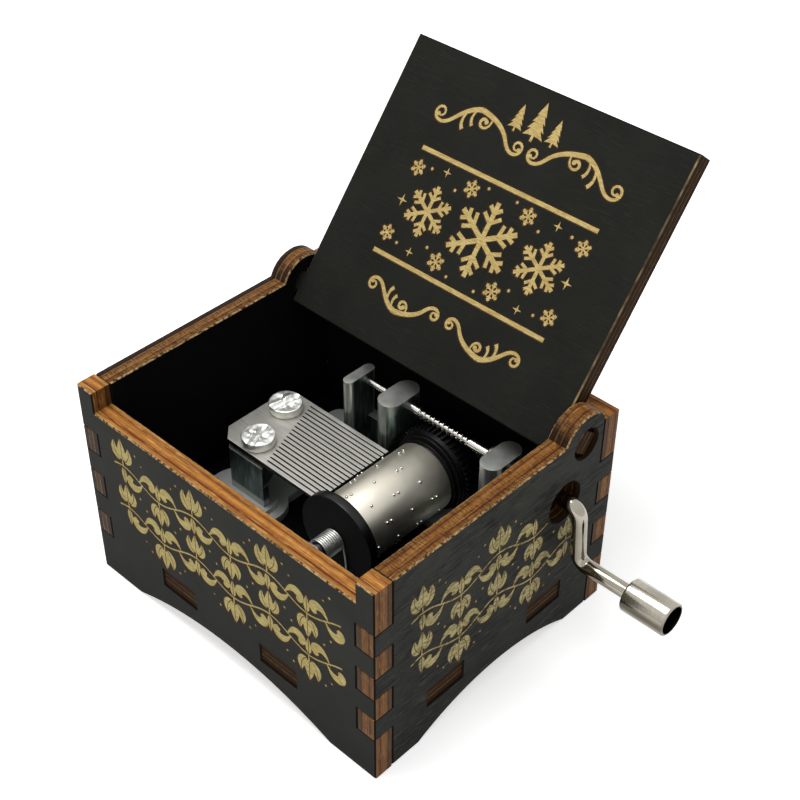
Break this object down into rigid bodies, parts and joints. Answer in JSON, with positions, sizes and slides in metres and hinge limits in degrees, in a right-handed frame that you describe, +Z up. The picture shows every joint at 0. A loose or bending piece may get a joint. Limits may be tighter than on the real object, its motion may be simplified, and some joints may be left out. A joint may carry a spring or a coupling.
{
  "type": "music box",
  "caption": "Finger-jointed wooden box with an open lid on wooden pivots, and inside it a comb-and-cylinder movement that a crank on the right turns through a worm.",
  "frame": {"origin": "outer front-left bottom corner of the case, on the surface it stands on", "axes": "+X to the crank's side, +Y to the back, where the lid leans, +Z up"},
  "size_m": [0.0845, 0.0753, 0.0737],
  "materials": {
    "painted_plywood": "dark charcoal stain over plywood, matte, with orange-brown laser-cut edges",
    "zinc_casting": "bare die-cast zinc, satin blue-grey",
    "comb_steel": "ground spring steel, satin grey",
    "dark_strip": "blackened strip, matte",
    "bright_screw": "zinc-plated steel, rough and bright",
    "weight_metal": "plain grey metal",
    "nickel": "nickel plate over brass, semi-bright",
    "pin_steel": "bright steel wire",
    "black_plastic": "black acetal, satin",
    "steel": "bright drawn steel",
    "bush_brass": "turned brass"
  },
  "bodies": {
    "root": {"front_wall": "painted_plywood", "back_wall": "painted_plywood", "left_wall": "painted_plywood", "right_wall": "painted_plywood", "floor_board": "painted_plywood", "movement_frame": "zinc_casting", "mounting_screws": "bright_screw", "comb": "comb_steel", "comb_spacer": "dark_strip", "comb_screws": "bright_screw", "tuning_weights": "weight_metal", "axle_bracket": "steel", "bracket_screw": "bright_screw", "check_spring": "steel", "shaft_bush": "bush_brass"},
    "lid": {"lid": "painted_plywood"},
    "cylinder": {"cylinder_barrel": "nickel", "cylinder_pins": "pin_steel", "cylinder_front_cap": "black_plastic", "drive_gear": "black_plastic", "cylinder_axle": "steel", "axle_washers": "steel"},
    "crank": {"worm_shaft": "steel", "crank_arm": "nickel", "knob_rivet": "steel"},
    "knob": {"crank_knob": "nickel"}
  },
  "joints": [
    {"name": "lid_hinge", "type": "hinge", "parent": "root", "child": "lid", "pos_m": [0.032, 0.04535, 0.03733], "axis": [1, 0, 0], "range_deg": [0, 128.97]},
    {"name": "crank_spin", "type": "hinge", "parent": "root", "child": "crank", "pos_m": [0.055, 0.0416, 0.0282], "axis": [1, 0, 0], "continuous": true},
    {"name": "cylinder_spin", "type": "hinge", "parent": "root", "child": "cylinder", "pos_m": [0.0385, 0.03, 0.02], "axis": [0, 1, 0], "continuous": true},
    {"name": "knob_spin", "type": "hinge", "parent": "crank", "child": "knob", "pos_m": [0.08, 0.0427, 0.01635], "axis": [1, 0, 0], "continuous": true}
  ],
  "couplings": [
    {"joint": "cylinder_spin", "follows": "crank_spin", "ratio": -0.021739}
  ]
}
